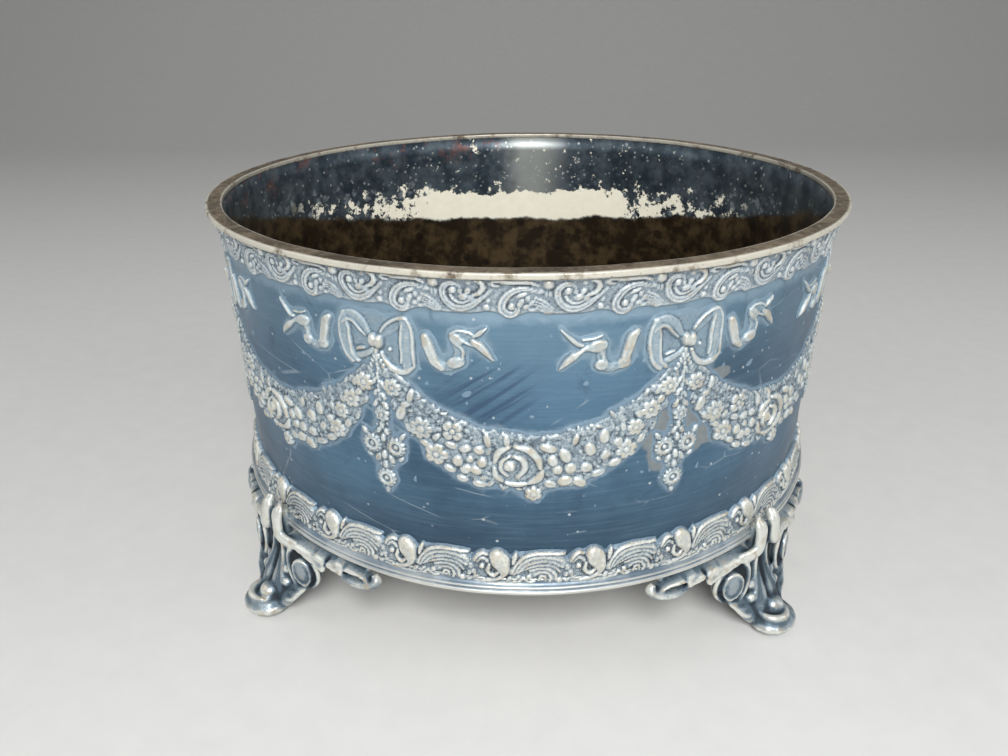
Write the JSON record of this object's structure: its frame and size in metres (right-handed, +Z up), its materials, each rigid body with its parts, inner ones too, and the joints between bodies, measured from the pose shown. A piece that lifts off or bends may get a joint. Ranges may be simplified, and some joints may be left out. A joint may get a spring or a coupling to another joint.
{
  "type": "footed jardiniere",
  "caption": "Round plated metal plant tub with a flat rim, rolled borders, applied swags, bows and drops, on cast scroll feet.",
  "frame": {"origin": "on the floor, under the middle of the drum", "axes": "+Z up, through the middle of the drum; -Y towards the front, to the middle of a swag; the feet stand 2.9 degrees short of the diagonals"},
  "size_m": [0.23, 0.23, 0.1341],
  "materials": {
    "drum_plate": "old silver plate gone slate blue, polished once, with fine scratches and pale specks; brown and limy inside",
    "rim_plate": "old silver plate rubbed to a brownish grey on the flats and to pale cream on the edges",
    "border_plate": "rolled relief, cream on the high places and blue-black in the hollows",
    "mount_plate": "stamped relief, pale cream on the high places and blue-grey in the hollows, with dull solder round it",
    "foot_casting": "soft metal casting, grey-blue, with worn cream edges"
  },
  "bodies": {
    "root": {"body_wall": "drum_plate", "bottom_plate": "drum_plate", "rim_ring": "rim_plate", "upper_border": "border_plate", "lower_border": "border_plate", "base_ring": "rim_plate", "foot_1": "foot_casting", "foot_2": "foot_casting", "foot_3": "foot_casting", "foot_4": "foot_casting", "bow_1": "mount_plate", "bow_2": "mount_plate", "bow_3": "mount_plate", "bow_4": "mount_plate", "bow_5": "mount_plate", "bow_6": "mount_plate", "bow_7": "mount_plate", "bow_8": "mount_plate", "garland_1": "mount_plate", "garland_2": "mount_plate", "garland_3": "mount_plate", "garland_4": "mount_plate", "garland_5": "mount_plate", "garland_6": "mount_plate", "garland_7": "mount_plate", "garland_8": "mount_plate", "drop_1": "mount_plate", "drop_2": "mount_plate", "drop_3": "mount_plate", "drop_4": "mount_plate", "drop_5": "mount_plate", "drop_6": "mount_plate", "drop_7": "mount_plate", "drop_8": "mount_plate"}
  },
  "joints": []
}
